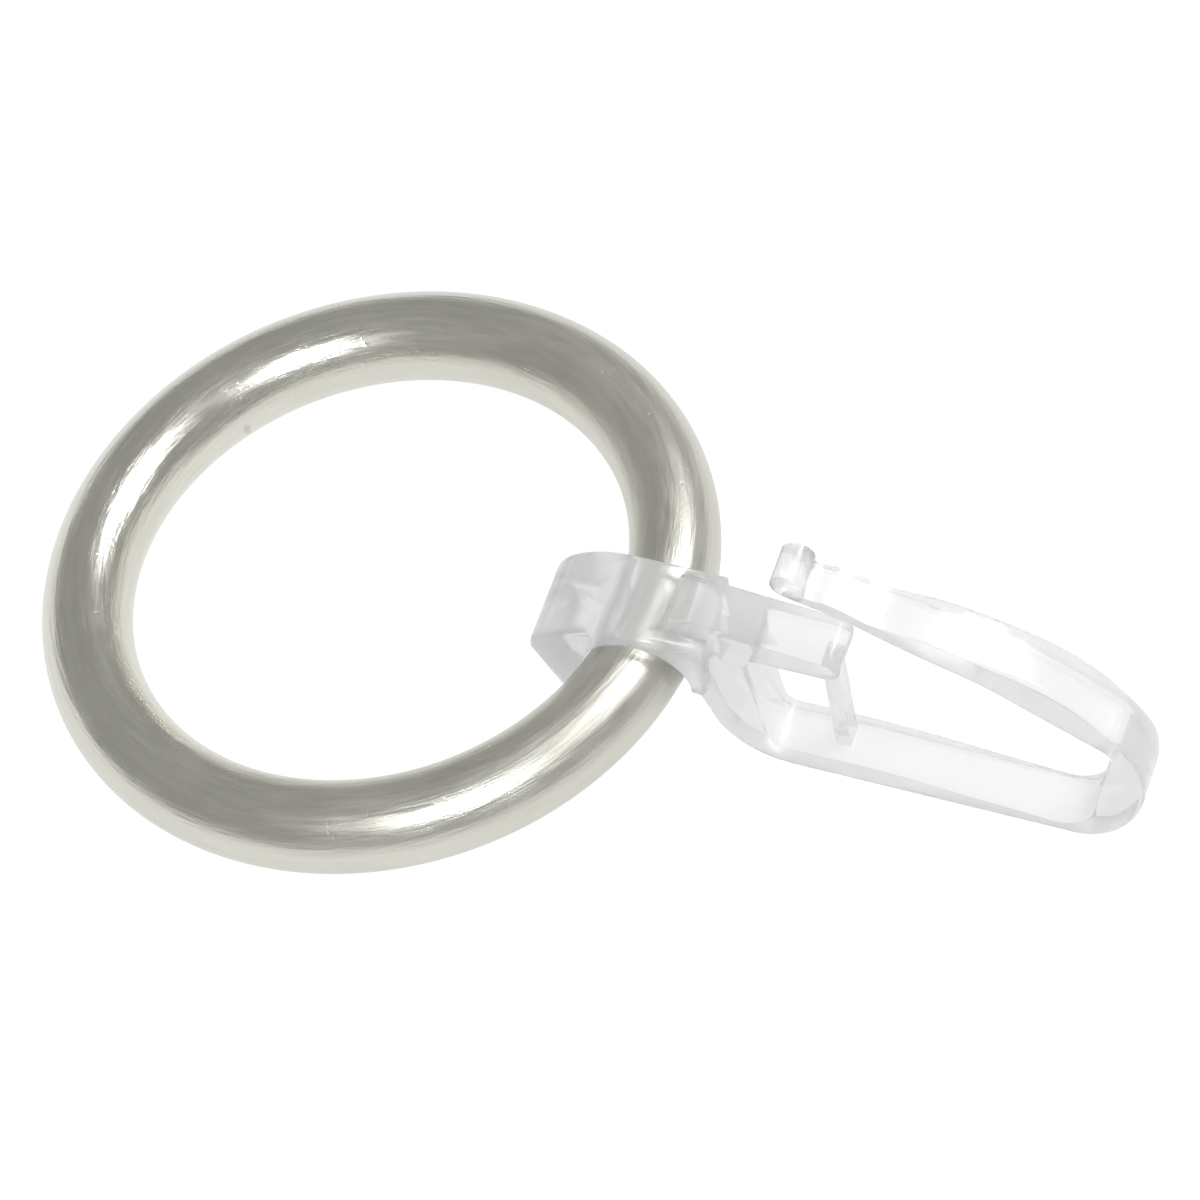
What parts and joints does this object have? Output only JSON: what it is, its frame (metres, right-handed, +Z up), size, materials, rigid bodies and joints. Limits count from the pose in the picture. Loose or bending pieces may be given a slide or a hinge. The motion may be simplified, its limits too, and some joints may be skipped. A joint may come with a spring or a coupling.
{
  "type": "curtain ring with hook",
  "caption": "Closed metal curtain ring with a clear one-piece plastic pleat hook that swivels on its bar.",
  "frame": {"origin": "on the table that the object lies on, under the middle of its overall box", "axes": "+X along the hook, from the ring to the toe of its loop; +Z up from the table; +Y across the hook"},
  "size_m": [0.0628, 0.038, 0.0181],
  "materials": {
    "ring_metal": "satin brushed, fine lines round the bar",
    "clear_plastic": "water-clear moulded plastic, polished"
  },
  "bodies": {
    "ring": {"ring": "ring_metal"},
    "hook": {"hook": "clear_plastic"}
  },
  "joints": [
    {"name": "hook_swivel", "type": "hinge", "parent": "ring", "child": "hook", "pos_m": [0.00369, -0.0012, 0.00718], "axis": [0.0732, 0.9973, 0], "continuous": true}
  ]
}
